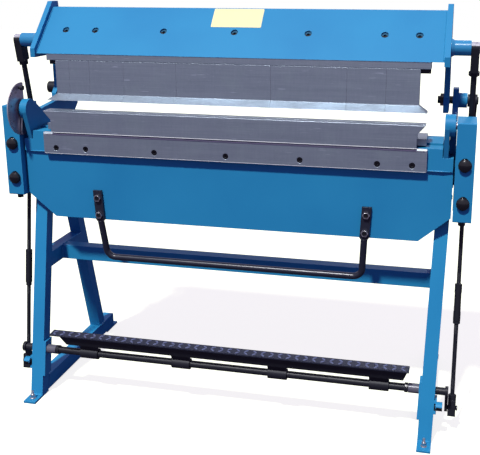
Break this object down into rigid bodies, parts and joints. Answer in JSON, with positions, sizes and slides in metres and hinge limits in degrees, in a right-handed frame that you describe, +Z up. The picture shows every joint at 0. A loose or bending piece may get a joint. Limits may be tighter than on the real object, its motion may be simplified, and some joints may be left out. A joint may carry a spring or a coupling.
{
  "type": "box and pan brake",
  "caption": "Floor-standing sheet-metal folder: segmented clamping beam closed by a pedal, and a hand-lifted bending leaf with a protractor.",
  "frame": {"origin": "centre of the footprint, on the floor", "axes": "+X along the bend line, operator at -Y, +Z up"},
  "size_m": [1.292, 0.569, 1.1119],
  "materials": {
    "blue_paint": "semi-gloss enamel",
    "ground_steel": "ground, lightly scratched",
    "black_steel": "black oxide",
    "zinc_steel": "zinc plated",
    "dial_plate": "etched plate"
  },
  "bodies": {
    "frame": {"front_leg_right": "blue_paint", "front_leg_left": "blue_paint", "rear_leg_right": "blue_paint", "rear_leg_left": "blue_paint", "bottom_rail_right": "blue_paint", "bottom_rail_left": "blue_paint", "side_rails": "blue_paint", "top_rails": "blue_paint", "cross_rail": "blue_paint", "side_plate_right": "blue_paint", "side_plate_left": "blue_paint", "bed_beam": "blue_paint", "lower_jaw": "ground_steel", "hinge_block_right": "blue_paint", "hinge_block_left": "blue_paint", "block_bolts": "black_steel", "block_adjusting_screws": "black_steel", "protractor": "dial_plate", "angle_stop_screw": "black_steel", "pedal_bearings": "blue_paint", "pedal_bushes": "ground_steel", "stop_lugs": "blue_paint"},
    "clamp_beam": {"beam_shell": "blue_paint", "backing_bar": "ground_steel", "beam_screws": "blue_paint", "beam_end_plate_right": "blue_paint", "beam_end_plate_left": "blue_paint", "stub_shafts": "blue_paint", "finger_holder": "ground_steel", "finger_clamp_bar": "black_steel", "finger_1": "ground_steel", "finger_2": "ground_steel", "finger_3": "ground_steel", "finger_4": "ground_steel", "finger_5": "ground_steel", "finger_6": "ground_steel", "finger_7": "ground_steel", "finger_8": "ground_steel", "pivot_shafts": "black_steel", "knee_levers": "black_steel", "upper_rods": "black_steel"},
    "bending_leaf": {"leaf_beam": "blue_paint", "leaf_rail": "ground_steel", "leaf_clamp_strip": "ground_steel", "leaf_screws": "black_steel", "apron": "blue_paint", "leaf_cheek_right": "blue_paint", "leaf_cheek_left": "blue_paint", "leaf_hinge_pins": "zinc_steel", "angle_pointer": "zinc_steel", "leaf_handle": "black_steel", "handle_bolts": "zinc_steel"},
    "pedal": {"pedal_shaft": "black_steel", "pedal_tread": "black_steel", "pedal_arms": "black_steel", "pedal_cranks": "black_steel"},
    "right_lower_rod": {"lower_rod_right": "black_steel", "turnbuckle_right": "black_steel"},
    "left_lower_rod": {"lower_rod_left": "black_steel", "turnbuckle_left": "black_steel"}
  },
  "joints": [
    {"name": "beam_pivot", "type": "hinge", "parent": "frame", "child": "clamp_beam", "pos_m": [0, 0.1225, 0.8495], "axis": [1, 0, 0], "range_deg": [0, 5.88], "stiffness_Nm_per_rad": 400, "springref_deg": -20.05},
    {"name": "leaf_hinge", "type": "hinge", "parent": "frame", "child": "bending_leaf", "pos_m": [0, -0.1345, 0.824], "axis": [-1, 0, 0], "range_deg": [0, 135]},
    {"name": "pedal_hinge", "type": "hinge", "parent": "frame", "child": "pedal", "pos_m": [0, -0.1945, 0.131], "axis": [1, 0, 0], "range_deg": [-41.2, 0]},
    {"name": "right_rod_hinge", "type": "hinge", "parent": "pedal", "child": "right_lower_rod", "pos_m": [0, -0.16207, 0.06896], "axis": [1, 0, 0], "range_deg": [0, 36.5]},
    {"name": "left_rod_hinge", "type": "hinge", "parent": "pedal", "child": "left_lower_rod", "pos_m": [0, -0.16207, 0.06896], "axis": [1, 0, 0], "range_deg": [0, 36.5]}
  ],
  "couplings": [
    {"joint": "pedal_hinge", "follows": "beam_pivot", "ratio": -7.0097},
    {"joint": "right_rod_hinge", "follows": "beam_pivot", "ratio": 6.2107},
    {"joint": "left_rod_hinge", "follows": "beam_pivot", "ratio": 6.2107}
  ]
}
